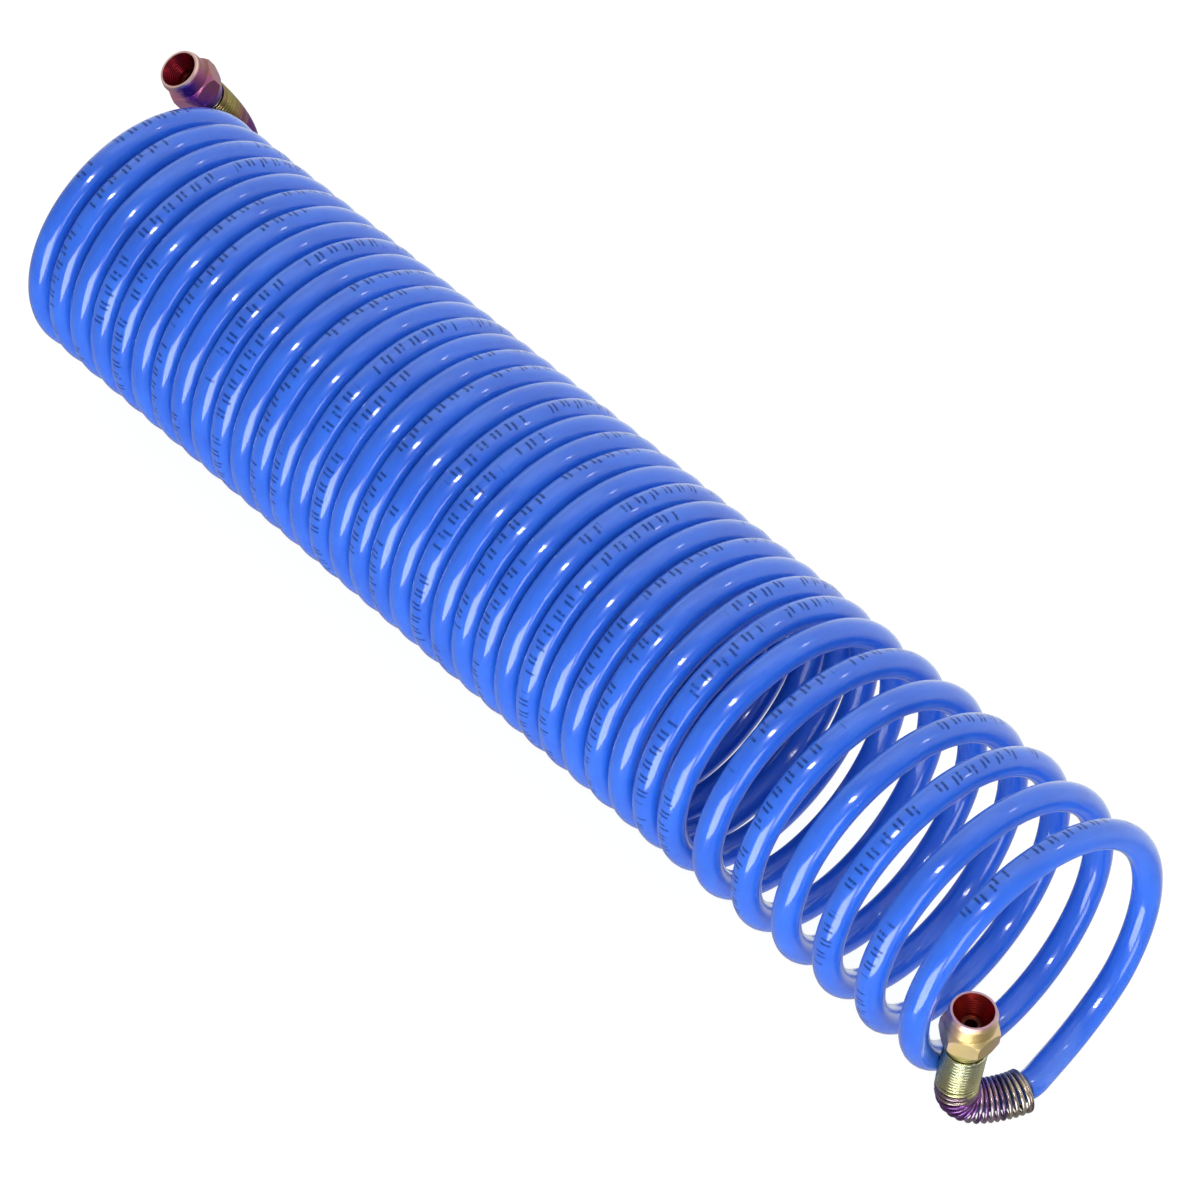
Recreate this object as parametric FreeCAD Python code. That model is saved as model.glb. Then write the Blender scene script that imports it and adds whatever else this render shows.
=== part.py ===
# Coiled air hose: a left-hand coil of 8 x 5 mm tube lying on its side, with a male 1/4 swivel
# fitting and a wire spring guard at each end. Millimetres, +Z up, coil axis along X.
# The origin is on the floor, at the centre of the part's footprint.
import FreeCAD
import Part
import math
import os

V = FreeCAD.Vector

# ---- hose and coil ----
hose_r = 4.0                # 8 mm outside
hose_bore_r = 2.5           # 5 mm inside
mean_r = 38.0               # coil centreline
outer_r = mean_r + hose_r
hose_section = math.pi * (hose_r ** 2 - hose_bore_r ** 2)
flat_margin = 0.25          # the coil's outer shape stands this proud, and is cut flat at the floor
axis_y = -2.0
axis_z = outer_r

closed_turns = 30.0
open_turns = 6.0
mid_pitch = 8.35            # closest, half way along the closed turns
end_pitch = 9.65            # at both ends of the closed turns
open_pitch = 14.2           # first open turn
open_growth = 0.3           # each open turn adds this to its pitch
last_pitch = 20.0           # the part turn that leads into the near guard
first_x = -178.4            # centreline at the start of the first closed turn
start_deg = 59.4            # where turns are counted from: degrees up from -Y, towards +Z

# ---- fitting, measured from the rim of the nose back towards the hose ----
thread_r = 6.58             # G 1/4
nose_length = 5.2
seat_r = 5.4                # mouth of the 60 degree cone seat
bore_r = 2.6
hex_flats = 14.0
hex_corner_r = hex_flats / math.sqrt(3.0)
hex_front = 6.2
hex_back = 11.0
nipple_length = 15.6
collar_r = 5.25
socket_r = 4.6
socket_front = 6.0
snap_front = 11.4
snap_back = 12.2
snap_groove_r = 5.3
snap_inner_r = 3.5

stem_head_r = 4.54
stem_head_front = 6.1
stem_head_back = 11.3
stem_neck_r = 3.4
stem_r = 2.5
stem_bore_r = 1.75
stem_barb_r = 2.7
stem_length = 29.6
oring_at = 8.5
oring_wire_r = 0.6
oring_groove_r = 3.36

ferrule_front = 16.0
ferrule_back = 25.6
ferrule_r = 4.7
crimp_r = 4.45
hose_front = 17.0

guard_front = 16.0
guard_outer_r = 6.2
guard_inner_r = 5.0


def axial(turn):
    """X travel of the centreline from the start of the first closed turn."""
    half = closed_turns / 2.0
    swell = end_pitch - mid_pitch
    if turn <= 0.0:
        return end_pitch * turn
    closed = min(turn, closed_turns)
    x = mid_pitch * closed + swell * ((closed - half) ** 3 + half ** 3) / (3.0 * half ** 2)
    opened = min(max(turn - closed_turns, 0.0), open_turns)
    x += open_pitch * opened + open_growth * opened ** 2 / 2.0
    x += last_pitch * max(turn - closed_turns - open_turns, 0.0)
    return x


def coil_point(turn, radius):
    """A point beside the coil: radius from its axis, at this many turns from the start."""
    angle = math.radians(start_deg) + 2.0 * math.pi * turn
    y = axis_y - radius * math.cos(angle)
    z = axis_z + radius * math.sin(angle)
    return V(first_x + axial(turn), y, z)


# ---- routes of the two tails, from the coil to the fitting ----
steps_per_turn = 12
corner_r = (mean_r - 0.1) / math.cos(math.pi / steps_per_turn)


def part_turn(start, end):
    """Corner points of a route that follows the coil from one turn count to another."""
    count = int(round(abs(end - start) * steps_per_turn))
    step = (end - start) / count
    points = [coil_point(start, mean_r)]
    for k in range(count):
        points.append(coil_point(start + (k + 0.5) * step, corner_r))
    return points


near_mouth = V(182.0, -27.9, 44.7)
near_axis = V(0.05, 0.054, 0.997)
near_axis.normalize()
near_loop = part_turn(36.0, 36.5)
near_tail = [
    V(186.0, 8.8, 4.4),
    V(188.6, -6.0, 4.6),
    V(190.2, -13.4, 6.3),
    V(183.9, -23.9, 6.3),
    V(181.7, -27.5, 8.7),
    V(180.4, -29.6, 12.9),
]

far_mouth = V(-190.8, 22.9, 81.7)
far_axis = V(-0.16, -0.48, 0.863)
far_axis.normalize()
far_loop = part_turn(0.1, -0.4)
far_tail = [
    V(-184.6, 14.8, 5.8),
    V(-185.2, 31.2, 17.8),
    V(-185.5, 39.2, 35.2),
    V(-185.5, 38.9, 53.0),
]


def on_axis(mouth, axis, back):
    """A point on a fitting's axis, this far behind its rim."""
    return mouth - axis * back


def report_radii(name, points):
    """Prints the arc radius at each corner of a route."""
    radii = []
    for a, b, c in zip(points, points[1:], points[2:]):
        run_in = b - a
        run_out = c - b
        turn = run_in.getAngle(run_out)
        radii.append(0.45 * min(run_in.Length, run_out.Length) / math.tan(turn / 2.0))
    print(name, "radii", [round(r, 1) for r in radii])


def route_wire(points):
    """Straight runs joined by tangent arcs, each as large as its two runs allow."""
    edges = []
    start = points[0]
    for a, b, c in zip(points, points[1:], points[2:]):
        run_in = b - a
        run_out = c - b
        trim = 0.45 * min(run_in.Length, run_out.Length)
        run_in.normalize()
        run_out.normalize()
        arc_start = b - run_in * trim
        arc_end = b + run_out * trim
        half = run_in.getAngle(run_out) / 2.0
        inward = run_out - run_in
        inward.normalize()
        radius = trim / math.tan(half)
        middle = b + inward * (radius / math.cos(half) - radius)
        edges.append(Part.LineSegment(start, arc_start).toShape())
        edges.append(Part.Arc(arc_start, middle, arc_end).toShape())
        start = arc_end
    edges.append(Part.LineSegment(start, points[-1]).toShape())
    return Part.Wire(edges)


def swept(wire, radius):
    """A round rod of this radius along a wire."""
    first = wire.Edges[0]
    direction = first.tangentAt(first.FirstParameter)
    ring = Part.Wire([Part.makeCircle(radius, first.valueAt(first.FirstParameter), direction)])
    return wire.makePipeShell([ring], True, False)


def hollow(wire, outer, inner):
    """A tube along a wire."""
    return swept(wire, outer).cut(swept(wire, inner))


def turned(profile, mouth, axis):
    """Turns a closed profile of (distance behind the rim, radius) about a fitting's axis."""
    points = [V(radius, 0.0, -back) for back, radius in profile]
    face = Part.Face(Part.makePolygon(points + [points[0]]))
    solid = face.revolve(V(0, 0, 0), V(0, 0, 1), 360.0)
    return placed(solid, mouth, axis)


def placed(shape, mouth, axis):
    """Moves a shape built with its rim at the origin and its axis along Z onto a fitting."""
    moved = shape.copy()
    onto = FreeCAD.Placement(mouth, FreeCAD.Rotation(V(0, 0, 1), axis))
    moved.Placement = onto.multiply(shape.Placement)
    return moved


def nipple(mouth, axis):
    """Male nose with a cone seat, flare, hexagon and rounded back, with the swivel socket inside."""
    cone_depth = (seat_r - bore_r) / math.tan(math.radians(30.0))
    profile = [
        (0.0, seat_r),
        (0.0, thread_r - 0.5),
        (1.4, thread_r),
        (nose_length, thread_r),
        (hex_front, hex_corner_r - 0.5),
        (hex_front + 0.8, hex_corner_r),
        (hex_back - 0.8, hex_corner_r),
        (hex_back, hex_corner_r - 0.5),
        (13.6, 6.1),
        (14.9, 5.6),
        (nipple_length, collar_r),
        (nipple_length, socket_r),
        (snap_back, socket_r),
        (snap_back, snap_groove_r),
        (snap_front, snap_groove_r),
        (snap_front, socket_r),
        (socket_front, socket_r),
        (socket_front, bore_r),
        (cone_depth, bore_r),
    ]
    body = turned(profile, V(0, 0, 0), V(0, 0, 1))
    corners = []
    for k in range(7):
        angle = math.radians(60.0 * k + 30.0)
        corners.append(V(hex_corner_r * math.cos(angle), hex_corner_r * math.sin(angle), -30.0))
    prism = Part.Face(Part.makePolygon(corners)).extrude(V(0, 0, 40.0))
    return placed(body.common(prism), mouth, axis)


def stem(mouth, axis):
    """Barbed stem: the head turns in the nipple, the barbs hold the hose."""
    profile = [
        (stem_head_front, stem_bore_r),
        (stem_head_front, stem_head_r),
        (oring_at - 0.75, stem_head_r),
        (oring_at - 0.75, oring_groove_r),
        (oring_at + 0.75, oring_groove_r),
        (oring_at + 0.75, stem_head_r),
        (stem_head_back, stem_head_r),
        (stem_head_back, stem_neck_r),
        (hose_front - 0.1, stem_neck_r),
        (hose_front - 0.1, stem_r),
    ]
    for barb in (18.6, 21.6, 24.6):
        profile.append((barb, stem_r))
        profile.append((barb, stem_barb_r))
        profile.append((barb + 2.0, stem_r))
    profile.append((stem_length - 1.0, stem_r))
    profile.append((stem_length, stem_r - 0.4))
    profile.append((stem_length, stem_bore_r))
    return turned(profile, mouth, axis)


def oring(mouth, axis):
    """Seal ring in the groove of the stem's head."""
    major = oring_groove_r + oring_wire_r
    ring = Part.makeTorus(major, oring_wire_r)
    ring.translate(V(0, 0, -oring_at))
    return placed(ring, mouth, axis)


def snap_ring(mouth, axis):
    """Retaining ring in the nipple's groove, behind the stem's head."""
    thickness = snap_back - snap_front - 0.1
    ring = Part.makeCylinder(snap_groove_r - 0.02, thickness).cut(Part.makeCylinder(snap_inner_r, thickness))
    gap = Part.makeBox(6.0, 1.6, thickness, V(0.0, -0.8, 0.0))
    ring = ring.cut(gap)
    ring.translate(V(0, 0, -snap_back + 0.05))
    return placed(ring, mouth, axis)


def ferrule(mouth, axis):
    """Crimp sleeve over the hose, with two rolled crimps and a lip round the stem's neck."""
    lip_r = stem_neck_r + 0.02
    profile = [
        (ferrule_front, lip_r),
        (ferrule_front, ferrule_r - 0.3),
        (ferrule_front + 0.3, ferrule_r),
        (18.8, ferrule_r),
        (19.4, crimp_r),
        (20.4, crimp_r),
        (21.0, ferrule_r),
        (22.0, ferrule_r),
        (22.6, crimp_r),
        (23.6, crimp_r),
        (24.2, ferrule_r),
        (ferrule_back, ferrule_r),
        (ferrule_back, hose_r),
        (hose_front - 0.2, hose_r),
        (hose_front - 0.2, lip_r),
    ]
    return turned(profile, mouth, axis)


def coil_solid(start, end, pitch):
    """Outer shape of a stretch of the coil, lying on a narrow flat, with a wall of the hose's own volume."""
    turn_length = math.hypot(2.0 * math.pi * mean_r, pitch)
    wall_section = hose_section * turn_length / pitch
    shell_r = outer_r + flat_margin
    shell_inner_r = math.sqrt(shell_r ** 2 - wall_section / math.pi)
    base = V(start, axis_y, axis_z)
    ring = Part.makeCylinder(shell_r, end - start, base, V(1, 0, 0))
    ring = ring.cut(Part.makeCylinder(shell_inner_r, end - start, base, V(1, 0, 0)))
    room = Part.makeBox(end - start, 4.0 * shell_r, 3.0 * shell_r, V(start, axis_y - 2.0 * shell_r, 0.0))
    return ring.common(room)


parts = {}
closed_start = first_x + 0.6
closed_end = first_x + axial(closed_turns) + hose_r + 2.0
open_end = first_x + axial(closed_turns + open_turns) - hose_r - 0.2
closed_pitch = axial(closed_turns) / closed_turns
opened_pitch = (axial(closed_turns + open_turns) - axial(closed_turns)) / open_turns
parts["hose_coil_closed"] = coil_solid(closed_start, closed_end, closed_pitch)
parts["hose_coil_open"] = coil_solid(closed_end, open_end, opened_pitch)

for end, mouth, axis, loop, tail, guard_start, first_corner in (
    ("near", near_mouth, near_axis, near_loop, near_tail, V(190.0, -13.8, 6.3), 3),
    ("far", far_mouth, far_axis, far_loop, far_tail, V(-185.35, 35.2, 26.5), 2),
):
    route = loop + tail + [on_axis(mouth, axis, hose_front)]
    report_radii(end, route)
    wire = route_wire(route)
    tube = hollow(wire, hose_r, hose_bore_r)
    print(end, "length", round(wire.Length, 1), "volume ratio", tube.Volume / hose_section / wire.Length)
    parts[end + "_hose_tail"] = tube
    guard_route = [guard_start] + tail[first_corner:] + [on_axis(mouth, axis, guard_front)]
    parts[end + "_spring_guard"] = hollow(route_wire(guard_route), guard_outer_r, guard_inner_r)
    parts[end + "_ferrule"] = ferrule(mouth, axis)
    parts[end + "_stem"] = stem(mouth, axis)
    parts[end + "_oring"] = oring(mouth, axis)
    parts[end + "_snap_ring"] = snap_ring(mouth, axis)
    parts[end + "_nipple"] = nipple(mouth, axis)

os.makedirs("parts", exist_ok=True)
for name, shape in parts.items():
    solid = shape.Solids[0]
    print(name, len(shape.Solids), shape.isValid(), round(solid.Volume, 1), solid.optimalBoundingBox())
    solid.exportStep("parts/" + name + ".step")
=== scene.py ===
# Coiled air hose: the visible pieces, materials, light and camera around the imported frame.
# Metres, +Z up, coil axis along X, near end (open turns) towards +X.
import math

import bpy
import numpy as np
from mathutils import Matrix, Vector


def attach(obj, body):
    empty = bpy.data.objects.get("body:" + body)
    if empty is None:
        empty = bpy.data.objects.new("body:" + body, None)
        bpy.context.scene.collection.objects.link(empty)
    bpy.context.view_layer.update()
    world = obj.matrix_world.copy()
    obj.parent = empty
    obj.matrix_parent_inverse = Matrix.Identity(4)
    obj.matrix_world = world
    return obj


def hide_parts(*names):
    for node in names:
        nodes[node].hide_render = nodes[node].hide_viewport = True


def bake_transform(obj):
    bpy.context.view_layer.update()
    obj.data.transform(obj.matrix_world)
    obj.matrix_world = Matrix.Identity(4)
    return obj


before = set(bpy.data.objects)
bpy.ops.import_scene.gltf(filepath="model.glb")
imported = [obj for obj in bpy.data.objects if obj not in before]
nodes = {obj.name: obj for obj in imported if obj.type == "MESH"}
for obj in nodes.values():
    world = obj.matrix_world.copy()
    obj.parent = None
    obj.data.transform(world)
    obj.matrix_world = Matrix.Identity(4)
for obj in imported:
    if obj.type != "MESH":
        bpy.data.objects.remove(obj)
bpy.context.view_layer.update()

# ---------------------------------------------------------------- camera
CAMERA_AT = Vector((0.6701, -0.6086, 1.0666))
CAMERA_FORWARD = Vector((-0.4822, 0.4463, -0.7541))

camera_data = bpy.data.cameras.new("camera")
camera_data.lens = 150.0
camera_data.sensor_width = 36.0
camera_data.clip_start = 0.05
camera_data.clip_end = 50.0
camera = bpy.data.objects.new("camera", camera_data)
camera.location = CAMERA_AT
camera.rotation_euler = CAMERA_FORWARD.to_track_quat("-Z", "Y").to_euler()
bpy.context.scene.collection.objects.link(camera)
bpy.context.scene.camera = camera

# ---------------------------------------------------------------- the hose's line
HOSE_R = 0.004
BORE_R = 0.0025
MEAN_R = 0.038
AXIS_Y = -0.002
AXIS_Z = 0.042
CLOSED_TURNS = 30.0
OPEN_TURNS = 6.0
MID_PITCH = 0.00835
END_PITCH = 0.00965
OPEN_PITCH = 0.0142
OPEN_GROWTH = 0.0003
LAST_PITCH = 0.020
FIRST_X = -0.1784
START_DEG = 59.4
POINTS_PER_TURN = 24

NEAR_MOUTH = Vector((0.1820, -0.0279, 0.0447))
NEAR_AXIS = Vector((0.05, 0.054, 0.997)).normalized()
FAR_MOUTH = Vector((-0.1908, 0.0229, 0.0817))
FAR_AXIS = Vector((-0.16, -0.48, 0.863)).normalized()
HOSE_FRONT = 0.0170
GUARD_FRONT = 0.0160
NEAR_GUARD = 0.0375
FAR_GUARD = 0.0430
LINE_STEP = 0.0016
TAIL_RINGS = 400            # more rings than either tail has


def axial(turn):
    """X travel of the coil's line from the start of its first closed turn."""
    half = CLOSED_TURNS / 2.0
    swell = END_PITCH - MID_PITCH
    if turn <= 0.0:
        return END_PITCH * turn
    closed = min(turn, CLOSED_TURNS)
    x = MID_PITCH * closed + swell * ((closed - half) ** 3 + half ** 3) / (3.0 * half ** 2)
    opened = min(max(turn - CLOSED_TURNS, 0.0), OPEN_TURNS)
    x += OPEN_PITCH * opened + OPEN_GROWTH * opened ** 2 / 2.0
    x += LAST_PITCH * max(turn - CLOSED_TURNS - OPEN_TURNS, 0.0)
    return x


def coil_point(turn, radius):
    """The point at this many turns from the start, radius away from the coil's axis."""
    angle = math.radians(START_DEG) + 2.0 * math.pi * turn
    y = AXIS_Y - radius * math.cos(angle)
    z = AXIS_Z + radius * math.sin(angle)
    return Vector((FIRST_X + axial(turn), y, z))


control_r = MEAN_R / math.cos(math.pi / POINTS_PER_TURN)
control = [
    FAR_MOUTH - FAR_AXIS * HOSE_FRONT,
    Vector((-0.1855, 0.0389, 0.0530)),
    Vector((-0.1855, 0.0392, 0.0352)),
    Vector((-0.1852, 0.0312, 0.0178)),
    Vector((-0.1846, 0.0148, 0.0058)),
]
FIRST_TURN = -0.36
LAST_TURN = 36.48
for k in range(int((LAST_TURN - FIRST_TURN) * POINTS_PER_TURN) + 1):
    control.append(coil_point(FIRST_TURN + k / POINTS_PER_TURN, control_r))
control += [
    Vector((0.1860, 0.0088, 0.0044)),
    Vector((0.1886, -0.0060, 0.0046)),
    Vector((0.1905, -0.0140, 0.0063)),
    Vector((0.1846, -0.0252, 0.0062)),
    Vector((0.1812, -0.0286, 0.0080)),
    Vector((0.1800, -0.0300, 0.0130)),
    NEAR_MOUTH - NEAR_AXIS * HOSE_FRONT,
]


def smooth_line(name, points, resolution):
    """The points of a NURBS line with these control points."""
    data = bpy.data.curves.new(name, "CURVE")
    data.dimensions = "3D"
    spline = data.splines.new("NURBS")
    spline.points.add(len(points) - 1)
    for place, p in zip(spline.points, points):
        place.co = (p.x, p.y, p.z, 1.0)
    spline.order_u = 3
    spline.use_endpoint_u = True
    spline.resolution_u = resolution
    obj = bpy.data.objects.new(name, data)
    bpy.context.scene.collection.objects.link(obj)
    bpy.context.view_layer.update()
    mesh = bpy.data.meshes.new_from_object(obj)
    line = np.array([v.co for v in mesh.vertices], float)
    bpy.data.objects.remove(obj)
    bpy.data.curves.remove(data)
    bpy.data.meshes.remove(mesh)
    return line


def thinned(line, step):
    """The same line with points at least this far apart, its two ends kept."""
    kept = [line[0]]
    for p in line[1:-1]:
        if np.linalg.norm(p - kept[-1]) >= step and np.linalg.norm(p - line[-1]) >= 0.5 * step:
            kept.append(p)
    kept.append(line[-1])
    return np.array(kept)


def distances(line):
    """Distance along a line at each of its points."""
    steps = np.linalg.norm(np.diff(line, axis=0), axis=1)
    return np.concatenate([[0.0], np.cumsum(steps)])


def tangents(line):
    """Unit direction at each point of a line."""
    t = np.gradient(line, distances(line), axis=0)
    return t / np.linalg.norm(t, axis=1)[:, None]


def carried(normal, direction, start, count, step, normals):
    """Carries a normal along a line without twist, into normals."""
    for i in range(start, start + count * step, step):
        normal = normal - np.dot(normal, direction[i]) * direction[i]
        normal = normal / np.linalg.norm(normal)
        normals[i] = normal


dense = smooth_line("hose_line", control, 12)
line = thinned(dense, LINE_STEP)
along = distances(line)
heading = tangents(line)

first_ring = int(np.argmin(np.linalg.norm(line[:TAIL_RINGS] - np.array(coil_point(0.0, MEAN_R)), axis=1)))
tail_start = len(line) - TAIL_RINGS
last_ring = tail_start + int(
    np.argmin(np.linalg.norm(line[tail_start:] - np.array(coil_point(36.0, MEAN_R)), axis=1))
)

outward = np.zeros_like(line)
radial = line - np.array((0.0, AXIS_Y, AXIS_Z))
radial[:, 0] = 0.0
for i in range(first_ring, last_ring + 1):
    n = radial[i] - np.dot(radial[i], heading[i]) * heading[i]
    outward[i] = n / np.linalg.norm(n)
carried(outward[last_ring], heading, last_ring + 1, len(line) - last_ring - 1, 1, outward)
carried(outward[first_ring], heading, first_ring - 1, first_ring, -1, outward)


# ---------------------------------------------------------------- mesh helpers
def ring_grid(centre, direction, normal, radius, sides):
    """Rings of points round a line; radius is one number or one for each ring."""
    side = np.cross(direction, normal)
    angle = np.arange(sides) * 2.0 * math.pi / sides
    radius = np.broadcast_to(np.asarray(radius, float), (len(centre),))
    wheel = (
        np.cos(angle)[None, :, None] * normal[:, None, :]
        + np.sin(angle)[None, :, None] * side[:, None, :]
    )
    return centre[:, None, :] + radius[:, None, None] * wheel


def grid_faces(rings, sides, first, flip):
    """Quads between neighbouring rings."""
    faces = []
    for i in range(rings - 1):
        for j in range(sides):
            a = first + i * sides + j
            b = first + i * sides + (j + 1) % sides
            quad = (a, b, b + sides, a + sides)
            faces.append(quad[::-1] if flip else quad)
    return faces


def finished(name, points, faces):
    """A smooth-shaded mesh object in the scene."""
    mesh = bpy.data.meshes.new(name)
    mesh.from_pydata([tuple(p) for p in points], [], faces)
    mesh.validate()
    mesh.polygons.foreach_set("use_smooth", [True] * len(mesh.polygons))
    mesh.update()
    obj = bpy.data.objects.new(name, mesh)
    bpy.context.scene.collection.objects.link(obj)
    return obj


# ---------------------------------------------------------------- the hose
HOSE_SIDES = 24
outside = ring_grid(line, heading, outward, HOSE_R, HOSE_SIDES).reshape(-1, 3)
inside = ring_grid(line, heading, outward, BORE_R, HOSE_SIDES).reshape(-1, 3)
rings = len(line)
hose_faces = grid_faces(rings, HOSE_SIDES, 0, False)
hose_faces += grid_faces(rings, HOSE_SIDES, rings * HOSE_SIDES, True)
for ring, flip in ((0, False), (rings - 1, True)):
    for j in range(HOSE_SIDES):
        a = ring * HOSE_SIDES + j
        b = ring * HOSE_SIDES + (j + 1) % HOSE_SIDES
        quad = (b, a, a + rings * HOSE_SIDES, b + rings * HOSE_SIDES)
        hose_faces.append(quad[::-1] if flip else quad)
hose = finished("coiled_hose", np.concatenate([outside, inside]), hose_faces)

# where each point lies: along, in metres from the far end; around, the sine of its angle from the
# coil's outside; facing, that angle's cosine
hose_along = hose.data.attributes.new("along", "FLOAT", "POINT")
hose_along.data.foreach_set("value", np.tile(np.repeat(along, HOSE_SIDES), 2).astype(np.float32))
hose_round = hose.data.attributes.new("around", "FLOAT", "POINT")
lean = np.sin(np.arange(HOSE_SIDES) * 2.0 * math.pi / HOSE_SIDES)
hose_round.data.foreach_set("value", np.tile(lean, 2 * rings).astype(np.float32))
hose_front = hose.data.attributes.new("facing", "FLOAT", "POINT")
facing = np.cos(np.arange(HOSE_SIDES) * 2.0 * math.pi / HOSE_SIDES)
hose_front.data.foreach_set("value", np.tile(facing, 2 * rings).astype(np.float32))


# ---------------------------------------------------------------- spring guards
def guard(name, centre, wire_r, close_length, close_pitch, open_pitch, inner_start, inner_end, sag):
    """A spring of round wire round a line, close-wound at first and open from there on.

    inner_start and inner_end are the spring's inner radius at its two ends. sag is how far its open
    part hangs off the line, inside which the hose still fits.
    """
    centre = thinned(centre, 0.0004)
    s = distances(centre)
    loose = np.clip((s - 0.6 * close_length) / (0.5 * close_length), 0.0, 1.0)
    centre = centre + (loose * loose * (3.0 - 2.0 * loose))[:, None] * np.array(sag)
    rest_r = inner_end + 2.0 * wire_r + 0.0001
    centre[:, 2] = np.maximum(centre[:, 2], rest_r)
    s = distances(centre)
    direction = tangents(centre)
    normal = np.zeros_like(centre)
    seed = np.cross(direction[0], np.array((0.31, 0.87, 0.2)))
    carried(seed, direction, 0, len(centre), 1, normal)
    side = np.cross(direction, normal)
    total = s[-1]
    place = [0.0]
    phase = [0.0]
    per_ring = 28
    while place[-1] < total:
        mix = min(max((place[-1] - close_length) / 0.004, 0.0), 1.0)
        pitch = close_pitch + (open_pitch - close_pitch) * mix
        at_end = min(place[-1], total - place[-1]) < 0.7 * wire_r
        place.append(place[-1] + (0.3 * close_pitch if at_end else pitch) / per_ring)
        phase.append(phase[-1] + 2.0 * math.pi / per_ring)
    place = np.minimum(np.array(place), total)
    phase = np.array(phase)
    c = np.stack([np.interp(place, s, centre[:, k]) for k in range(3)], axis=1)
    n = np.stack([np.interp(place, s, normal[:, k]) for k in range(3)], axis=1)
    b = np.stack([np.interp(place, s, side[:, k]) for k in range(3)], axis=1)
    spread = np.clip((place - 0.6 * close_length) / (total - 0.6 * close_length), 0.0, 1.0)
    coil_r = inner_start + (inner_end - inner_start) * spread ** 1.3 + wire_r
    outward_dir = np.cos(phase)[:, None] * n + np.sin(phase)[:, None] * b
    wire = c + coil_r[:, None] * outward_dir
    heading_w = tangents(wire)
    up = outward_dir - np.sum(outward_dir * heading_w, axis=1)[:, None] * heading_w
    up = up / np.linalg.norm(up, axis=1)[:, None]
    sides = 10
    points = ring_grid(wire, heading_w, up, wire_r, sides).reshape(-1, 3)
    count = len(wire)
    faces = grid_faces(count, sides, 0, False)
    faces.append(tuple(range(sides))[::-1])
    faces.append(tuple((count - 1) * sides + j for j in range(sides)))
    obj = finished(name, points, faces)
    turn = obj.data.attributes.new("turn", "FLOAT", "POINT")
    turn.data.foreach_set("value", np.repeat(phase / (2.0 * math.pi), sides).astype(np.float32))
    reach = obj.data.attributes.new("reach", "FLOAT", "POINT")
    reach.data.foreach_set("value", np.repeat(place / total, sides).astype(np.float32))
    return obj


def stretch_of(line_points, axis, mouth, length):
    """The guard's own line: from its front on the fitting's axis, along the hose's line."""
    s = distances(line_points)
    part = line_points[s <= length]
    front = np.array(mouth - axis * (GUARD_FRONT + 0.0005))
    return np.concatenate([[front], part])


near_guard = guard(
    "near_guard_spring",
    stretch_of(line[::-1], NEAR_AXIS, NEAR_MOUTH, NEAR_GUARD),
    wire_r=0.00058,
    close_length=0.0140,
    close_pitch=0.00118,
    open_pitch=0.00150,
    inner_start=0.00475,
    inner_end=0.00502,
    sag=(0.0005, -0.0010, 0.0),
)
far_guard = guard(
    "far_guard_spring",
    stretch_of(line, FAR_AXIS, FAR_MOUTH, FAR_GUARD),
    wire_r=0.00055,
    close_length=0.0200,
    close_pitch=0.00112,
    open_pitch=0.00135,
    inner_start=0.00475,
    inner_end=0.00495,
    sag=(0.0, 0.0, 0.0),
)


# ---------------------------------------------------------------- materials
def new_material(name):
    material = bpy.data.materials.new(name)
    material.use_nodes = True
    tree = material.node_tree
    tree.nodes.clear()
    shader = tree.nodes.new("ShaderNodeBsdfPrincipled")
    out = tree.nodes.new("ShaderNodeOutputMaterial")
    tree.links.new(shader.outputs[0], out.inputs[0])
    return material, tree, shader


def put(tree, socket, value):
    """Sets a socket to a number or colour, or links an output to it."""
    if isinstance(value, bpy.types.NodeSocket):
        tree.links.new(value, socket)
    else:
        socket.default_value = value


def math_node(tree, operation, a, b=0.0, c=0.0):
    node = tree.nodes.new("ShaderNodeMath")
    node.operation = operation
    for socket, value in zip(node.inputs, (a, b, c)):
        put(tree, socket, value)
    return node.outputs[0]


def vector_node(tree, operation, a, b=(0.0, 0.0, 0.0)):
    node = tree.nodes.new("ShaderNodeVectorMath")
    node.operation = operation
    put(tree, node.inputs[0], a)
    put(tree, node.inputs[1], b)
    return node


def noise(tree, vector, scale, detail=2.0, roughness=0.5):
    node = tree.nodes.new("ShaderNodeTexNoise")
    put(tree, node.inputs["Vector"], vector)
    node.inputs["Scale"].default_value = scale
    node.inputs["Detail"].default_value = detail
    node.inputs["Roughness"].default_value = roughness
    return node.outputs["Fac"]


def ramp(tree, value, stops):
    """The colour at value between stops, each a place and a colour."""
    node = tree.nodes.new("ShaderNodeValToRGB")
    put(tree, node.inputs[0], value)
    elements = node.color_ramp.elements
    while len(elements) < len(stops):
        elements.new(0.5)
    for element, (at, colour) in zip(elements, stops):
        element.position = at
        element.color = (*colour, 1.0)
    return node.outputs[0]


def mixed(tree, factor, a, b):
    node = tree.nodes.new("ShaderNodeMix")
    node.data_type = "RGBA"
    put(tree, node.inputs[0], factor)
    put(tree, node.inputs[6], a if isinstance(a, bpy.types.NodeSocket) else (*a, 1.0))
    put(tree, node.inputs[7], b if isinstance(b, bpy.types.NodeSocket) else (*b, 1.0))
    return node.outputs[2]


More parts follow.
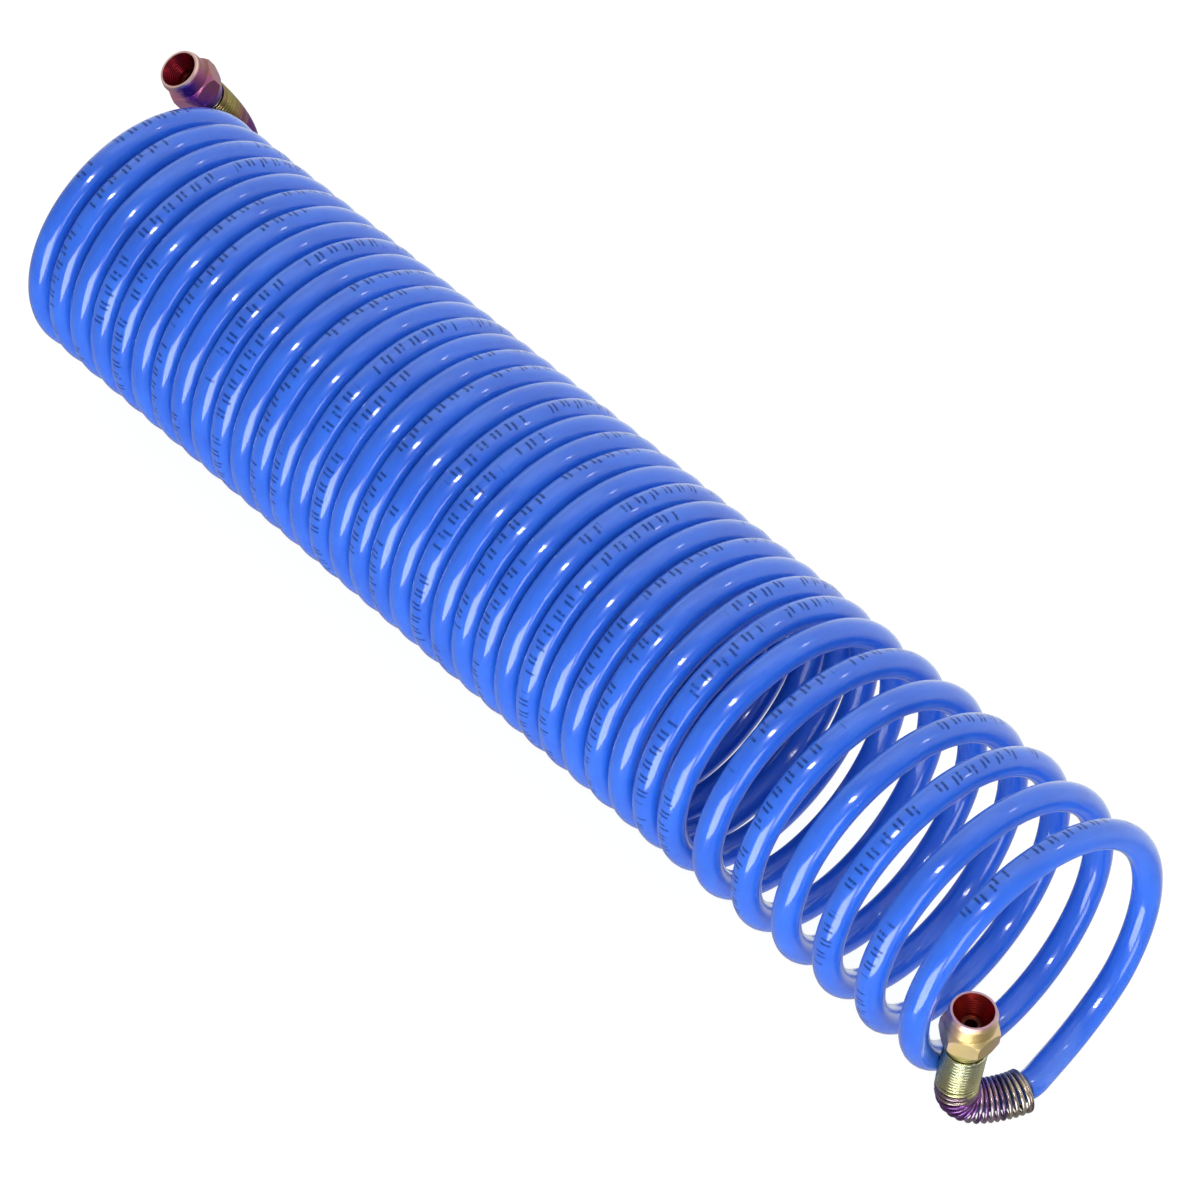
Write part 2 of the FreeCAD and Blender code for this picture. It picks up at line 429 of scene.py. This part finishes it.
def between(tree, value, low, high, soft):
    """1 where value is from low to high, with soft edges."""
    up = tree.nodes.new("ShaderNodeMapRange")
    put(tree, up.inputs[0], value)
    up.inputs[1].default_value = low - soft
    up.inputs[2].default_value = low + soft
    down = tree.nodes.new("ShaderNodeMapRange")
    put(tree, down.inputs[0], value)
    down.inputs[1].default_value = high - soft
    down.inputs[2].default_value = high + soft
    down.inputs[3].default_value = 1.0
    down.inputs[4].default_value = 0.0
    return math_node(tree, "MULTIPLY", up.outputs[0], down.outputs[0])


def bumped(tree, shader, height, distance, strength=1.0):
    node = tree.nodes.new("ShaderNodeBump")
    put(tree, node.inputs["Height"], height)
    node.inputs["Distance"].default_value = distance
    node.inputs["Strength"].default_value = strength
    tree.links.new(node.outputs[0], shader.inputs["Normal"])


def attribute(tree, name):
    node = tree.nodes.new("ShaderNodeAttribute")
    node.attribute_name = name
    return node.outputs["Fac"]


def object_point(tree):
    return tree.nodes.new("ShaderNodeTexCoord").outputs["Object"]


def set_roughness(tree, shader, value, low, high):
    """Roughness from low to high as value goes from 0 to 1."""
    node = tree.nodes.new("ShaderNodeMapRange")
    put(tree, node.inputs[0], value)
    node.inputs[3].default_value = low
    node.inputs[4].default_value = high
    tree.links.new(node.outputs[0], shader.inputs["Roughness"])


def cycle(tree, value, period):
    """Where value stands in its period, from 0 to 1."""
    return math_node(tree, "FRACT", math_node(tree, "MULTIPLY", value, 1.0 / period))


def step_noise(tree, value):
    """A random number from 0 to 1 for each whole number that value passes."""
    node = tree.nodes.new("ShaderNodeTexWhiteNoise")
    node.noise_dimensions = "1D"
    put(tree, node.inputs["W"], math_node(tree, "FLOOR", value))
    return node.outputs["Value"]


INK_DASH = 0.0015           # from one dash to the next; every third is left out
INK_WORD = 0.0320           # from one group of dashes to the next
INK_LINE = 0.172            # from one row of groups to the next
GUARD_SHADE_MARGIN = 0.0004


def hose_material():
    """Glossy blue plastic, with faint draw lines, haze, painted shade under the spring guards and a broken
    line of plain ink dashes.
    """
    material, tree, shader = new_material("hose_blue")
    point = object_point(tree)
    s = attribute(tree, "along")
    lean_at = attribute(tree, "around")
    front_at = attribute(tree, "facing")

    cloud = noise(tree, point, 60.0, 3.0)
    colour = ramp(tree, cloud, [(0.3, (0.021, 0.122, 0.62)), (0.7, (0.028, 0.150, 0.70))])

    # painted shade: the part of the hose under each spring guard is darkened in its colour, standing in
    # for the guard's shadow
    near_from = float(along[-1]) - NEAR_GUARD + GUARD_SHADE_MARGIN
    near_painted_shade = math_node(tree, "GREATER_THAN", s, near_from)
    far_painted_shade = math_node(tree, "LESS_THAN", s, FAR_GUARD - GUARD_SHADE_MARGIN)
    guard_painted_shade = math_node(tree, "MULTIPLY", math_node(tree, "MAXIMUM", near_painted_shade, far_painted_shade), 0.75)
    colour = mixed(tree, guard_painted_shade, colour, (0.004, 0.012, 0.060))

    # upright dashes of dark ink in pairs and groups, on the outside of the coil
    drift = math_node(tree, "MULTIPLY", math_node(tree, "SINE", math_node(tree, "MULTIPLY", s, 5.1)), 0.22)
    dash_number = math_node(tree, "MULTIPLY", s, 1.0 / INK_DASH)
    shift = math_node(tree, "MULTIPLY_ADD", step_noise(tree, dash_number), 0.30, -0.15)
    height_at = math_node(tree, "ADD", math_node(tree, "ADD", lean_at, drift), shift)
    masks = [
        between(tree, cycle(tree, s, INK_LINE), 0.08, 0.62, 0.004),
        between(tree, cycle(tree, s, INK_DASH), 0.24, 0.70, 0.12),
        between(tree, cycle(tree, s, 3.0 * INK_DASH), 0.33, 2.0, 0.01),
        between(tree, cycle(tree, s, INK_WORD), 0.18, 2.0, 0.01),
        between(tree, height_at, -0.36, 0.32, 0.05),
        math_node(tree, "GREATER_THAN", front_at, 0.0),
        between(tree, noise(tree, point, 900.0, 3.0), 0.36, 2.0, 0.10),
    ]
    ink = 0.88
    for mask in masks:
        ink = math_node(tree, "MULTIPLY", mask, ink)
    tree.links.new(mixed(tree, ink, colour, (0.006, 0.030, 0.170)), shader.inputs["Base Color"])

    set_roughness(tree, shader, noise(tree, point, 240.0, 4.0, 0.6), 0.16, 0.30)
    shader.inputs["IOR"].default_value = 1.4
    tree.links.new(math_node(tree, "MULTIPLY_ADD", ink, -0.8, 1.0), shader.inputs["Coat Weight"])
    tree.links.new(math_node(tree, "MULTIPLY_ADD", ink, -0.4, 0.5), shader.inputs["Specular IOR Level"])
    shader.inputs["Coat Roughness"].default_value = 0.04
    shader.inputs["Coat IOR"].default_value = 1.5
    tree.links.new(math_node(tree, "MULTIPLY_ADD", ink, -0.9, 0.9), shader.inputs["Subsurface Weight"])
    shader.inputs["Subsurface Radius"].default_value = (0.3, 0.6, 1.0)
    shader.inputs["Subsurface Scale"].default_value = 0.0028

    lines = tree.nodes.new("ShaderNodeCombineXYZ")
    put(tree, lines.inputs[0], math_node(tree, "MULTIPLY", s, 12.0))
    put(tree, lines.inputs[1], math_node(tree, "MULTIPLY", lean_at, 9.0))
    put(tree, lines.inputs[2], math_node(tree, "MULTIPLY", front_at, 9.0))
    drawn = noise(tree, lines.outputs[0], 1.0, 2.0)
    bumped(tree, shader, drawn, 0.00006, 0.6)
    return material


def fitting_distance(tree, mouth, axis):
    """(distance behind the rim, distance from the axis) of a point on a fitting."""
    offset = vector_node(tree, "SUBTRACT", object_point(tree), tuple(mouth)).outputs[0]
    back = vector_node(tree, "DOT_PRODUCT", offset, tuple(-axis)).outputs["Value"]
    cross = vector_node(tree, "CROSS_PRODUCT", offset, tuple(axis)).outputs[0]
    out = vector_node(tree, "LENGTH", cross).outputs["Value"]
    return back, out, offset


def zinc_material(name, mouth, axis, body_stops, tint_way, rim_tint_and_highlight, back_colour, bore_tint_and_shade):
    """Iridescent zinc plate on a turned fitting: tint that drifts along tint_way, a pink rim painted pale
    as a highlight, and a red-tinted bore painted dark as shade.
    """
    material, tree, shader = new_material(name)
    back, out, offset = fitting_distance(tree, mouth, axis)
    cloud = noise(tree, offset, 110.0, 3.0, 0.55)
    fine = noise(tree, offset, 520.0, 3.0, 0.6)
    drift = vector_node(tree, "DOT_PRODUCT", offset, tint_way).outputs["Value"]
    film = math_node(tree, "MULTIPLY_ADD", cloud, 0.55, math_node(tree, "MULTIPLY", fine, 0.15))
    film = math_node(tree, "ADD", film, math_node(tree, "MULTIPLY_ADD", drift, 30.0, 0.15))
    body = ramp(tree, film, body_stops)
    body = mixed(tree, between(tree, back, 0.0112, 1.0, 0.0004), body, back_colour)
    # painted highlight: the thin band at the rim is coloured pale, its pink film tint lightened as the
    # edge's highlight
    rim = between(tree, back, -0.001, 0.0007, 0.0003)
    colour = mixed(tree, rim, body, rim_tint_and_highlight)
    # painted shade: the bore is coloured dark red, its red film tint darkened as shade in the recess
    inside_bore = math_node(tree, "LESS_THAN", out, 0.00548)
    in_front = math_node(tree, "LESS_THAN", back, 0.0058)
    bore = math_node(tree, "MULTIPLY", inside_bore, in_front)
    colour = mixed(tree, bore, colour, bore_tint_and_shade)
    tree.links.new(colour, shader.inputs["Base Color"])
    shader.inputs["Metallic"].default_value = 1.0
    set_roughness(tree, shader, fine, 0.30, 0.46)
    lathe = math_node(tree, "SINE", math_node(tree, "MULTIPLY", back, 2.0 * math.pi / 0.00055))
    nose = between(tree, back, 0.0014, 0.0052, 0.0003)
    height = math_node(tree, "MULTIPLY", lathe, nose)
    height = math_node(tree, "MULTIPLY_ADD", fine, 0.6, height)
    bumped(tree, shader, height, 0.00004, 0.7)
    return material


def wire_material(name, stops):
    """Plated spring wire whose tint drifts from turn to turn."""
    material, tree, shader = new_material(name)
    point = object_point(tree)
    cloud = math_node(tree, "MULTIPLY", noise(tree, point, 120.0, 2.0, 0.5), 0.12)
    film = math_node(tree, "MULTIPLY_ADD", step_noise(tree, attribute(tree, "turn")), 0.12, cloud)
    reached = math_node(tree, "MULTIPLY_ADD", attribute(tree, "reach"), 0.84, -0.02)
    film = math_node(tree, "ADD", film, reached)
    tree.links.new(ramp(tree, film, stops), shader.inputs["Base Color"])
    shader.inputs["Metallic"].default_value = 1.0
    set_roughness(tree, shader, noise(tree, point, 300.0, 2.0), 0.20, 0.32)
    bumped(tree, shader, noise(tree, point, 1500.0, 2.0), 0.000006, 0.4)
    return material


def plain_material(name, low, high, metallic, rough_low, rough_high, scale):
    """A base colour and roughness that vary gently over the piece."""
    material, tree, shader = new_material(name)
    spots = noise(tree, object_point(tree), scale, 3.0)
    tree.links.new(ramp(tree, spots, [(0.3, low), (0.7, high)]), shader.inputs["Base Color"])
    shader.inputs["Metallic"].default_value = metallic
    set_roughness(tree, shader, spots, rough_low, rough_high)
    bumped(tree, shader, spots, 0.00003, 0.4)
    return material


GOLD = (0.80, 0.58, 0.26)
OLIVE = (0.72, 0.55, 0.26)
TAN = (0.82, 0.58, 0.38)
PINK = (0.86, 0.48, 0.42)
PURPLE = (0.22, 0.04, 0.36)
MAUVE = (0.30, 0.08, 0.22)
BROWN = (0.32, 0.12, 0.12)

hose.data.materials.append(hose_material())
# the last three colours: rim (pink tint with painted highlight), collar, bore (red tint with painted
# shade)
near_zinc = zinc_material(
    "zinc_near", NEAR_MOUTH, NEAR_AXIS,
    [(0.26, TAN), (0.38, OLIVE), (0.48, GOLD), (0.58, TAN), (0.68, PINK)],
    (-0.5, -0.55, 0.3), (0.88, 0.52, 0.46), (0.58, 0.49, 0.16), (0.27, 0.020, 0.016),
)
far_zinc = zinc_material(
    "zinc_far", FAR_MOUTH, FAR_AXIS,
    [(0.34, (0.92, 0.38, 0.52)), (0.43, PURPLE), (0.52, MAUVE), (0.64, BROWN)],
    (0.09, 0.88, 0.46), (0.92, 0.60, 0.53), (0.20, 0.07, 0.34), (0.20, 0.012, 0.022),
)
GREY_GREEN = (0.44, 0.45, 0.30)
guard_near = wire_material(
    "wire_near",
    [
        (0.10, GREY_GREEN),
        (0.40, (0.50, 0.46, 0.24)),
        (0.50, (0.20, 0.07, 0.26)),
        (0.60, (0.16, 0.06, 0.20)),
        (0.70, (0.46, 0.32, 0.40)),
        (0.78, (0.10, 0.05, 0.14)),
        (0.86, (0.56, 0.46, 0.36)),
        (0.94, (0.20, 0.14, 0.14)),
    ],
)
guard_far = wire_material(
    "wire_far",
    [
        (0.06, (0.24, 0.12, 0.08)),
        (0.18, (0.27, 0.25, 0.07)),
        (0.30, (0.22, 0.12, 0.07)),
        (0.40, (0.10, 0.02, 0.12)),
        (0.80, (0.05, 0.03, 0.20)),
    ],
)
steel = plain_material("inner_steel", (0.46, 0.43, 0.36), (0.62, 0.58, 0.50), 1.0, 0.25, 0.4, 500.0)
copper = plain_material("dark_copper", (0.16, 0.035, 0.02), (0.26, 0.07, 0.04), 1.0, 0.35, 0.5, 500.0)
rubber = plain_material("seal_rubber", (0.02, 0.02, 0.02), (0.04, 0.04, 0.04), 0.0, 0.5, 0.7, 800.0)
near_guard.data.materials.append(guard_near)
far_guard.data.materials.append(guard_far)


def paint(node, material):
    """Gives a CAD node this material on every slot."""
    obj = nodes[node]
    if not obj.material_slots:
        obj.data.materials.append(material)
    for place in obj.material_slots:
        place.material = material


paint("near_nipple", near_zinc)
paint("far_nipple", far_zinc)
for end in ("near", "far"):
    for piece in ("ferrule", "snap_ring"):
        paint(end + "_" + piece, steel)
    paint(end + "_stem", copper)
    paint(end + "_oring", rubber)

# ---------------------------------------------------------------- bodies
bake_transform(hose)
# share of a stretch at each ring: spread evenly along the coil, easing in and out at its ends; nothing
# below reads it
EASE = 0.06
GUARD_MARGIN = 0.0015
stretch_end = along[-1] - NEAR_GUARD - GUARD_MARGIN
eased_in = np.clip((along - along[first_ring]) / EASE, 0.0, 1.0)
eased_out = np.clip((stretch_end - along) / EASE, 0.0, 1.0)
gain = eased_in * eased_out
share = np.concatenate([[0.0], np.cumsum(0.5 * (gain[1:] + gain[:-1]) * np.diff(along))])
share = share / share[-1]
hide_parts("hose_coil_closed", "hose_coil_open", "near_hose_tail", "far_hose_tail")
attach(near_guard, "near_end")
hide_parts("near_spring_guard")
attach(far_guard, "coil")
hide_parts("far_spring_guard")

# ---------------------------------------------------------------- floor and light
floor_mesh = bpy.data.meshes.new("floor")
floor_mesh.from_pydata([(-4, -4, 0), (4, -4, 0), (4, 4, 0), (-4, 4, 0)], [], [(0, 1, 2, 3)])
floor = bpy.data.objects.new("floor", floor_mesh)
bpy.context.scene.collection.objects.link(floor)
floor_material, floor_tree, floor_shader = new_material("floor_white")
floor_shader.inputs["Base Color"].default_value = (0.15, 0.15, 0.15, 1.0)
floor_shader.inputs["Emission Color"].default_value = (1.0, 1.0, 1.0, 1.0)
floor_shader.inputs["Emission Strength"].default_value = 0.92
floor_shader.inputs["Roughness"].default_value = 0.8
floor_shader.inputs["Specular IOR Level"].default_value = 0.1
floor_mesh.materials.append(floor_material)
floor.visible_glossy = False
floor.visible_shadow = False

world = bpy.data.worlds.new("world")
world.use_nodes = True
sky = world.node_tree
way = sky.nodes.new("ShaderNodeTexCoord").outputs["Generated"]
facing_back = vector_node(sky, "DOT_PRODUCT", way, (-0.25, 0.85, 0.40)).outputs["Value"]
level = ramp(sky, math_node(sky, "MULTIPLY_ADD", facing_back, 0.5, 0.5), [
    (0.30, (0.30, 0.30, 0.30)),
    (0.55, (0.36, 0.36, 0.36)),
    (0.72, (0.90, 0.95, 0.95)),
    (1.0, (0.90, 0.95, 0.95)),
])
sky.links.new(level, sky.nodes["Background"].inputs[0])
sky.nodes["Background"].inputs[1].default_value = 1.0
bpy.context.scene.world = world
bpy.context.scene.view_settings.view_transform = "Standard"


def panel(name, direction, distance, width, height, radiance, seen=True, tint=(1.0, 1.0, 1.0)):
    """A soft light panel that faces the middle of the object, its width level with the coil's axis."""
    data = bpy.data.lights.new(name, "AREA")
    data.shape = "RECTANGLE"
    data.size = width
    data.size_y = height
    data.color = tint
    data.energy = radiance * width * height * math.pi
    obj = bpy.data.objects.new(name, data)
    toward = Vector(direction).normalized()
    across = (Vector((1.0, 0.0, 0.0)) - toward * toward.x).normalized()
    turned = Matrix((across, toward.cross(across), toward)).transposed().to_4x4()
    turned.translation = Vector((0.0, 0.0, 0.045)) + toward * distance
    obj.matrix_world = turned
    obj.visible_camera = False
    obj.visible_glossy = seen
    bpy.context.scene.collection.objects.link(obj)


panel("spot_front", (0.482, -0.446, 0.754), 1.9, 0.75, 0.18, 26.0, tint=(0.95, 1.0, 0.95))
panel("low_front", (0.482, -0.82, -0.24), 1.3, 0.85, 0.85, 5.6, tint=(0.88, 0.96, 1.0))
panel("side_right", (0.90, -0.44, 0.02), 1.6, 0.45, 0.8, 3.5, tint=(0.88, 0.96, 1.0))
panel("spot_back", (0.482, 0.547, 0.684), 1.9, 0.26, 0.16, 8.0)
panel("overhead", (-0.1, 0.2, 1.0), 1.8, 1.6, 1.2, 0.3)
panel("fill_front", (0.482, -0.446, 0.754), 2.2, 1.6, 1.6, 0.8, seen=False)
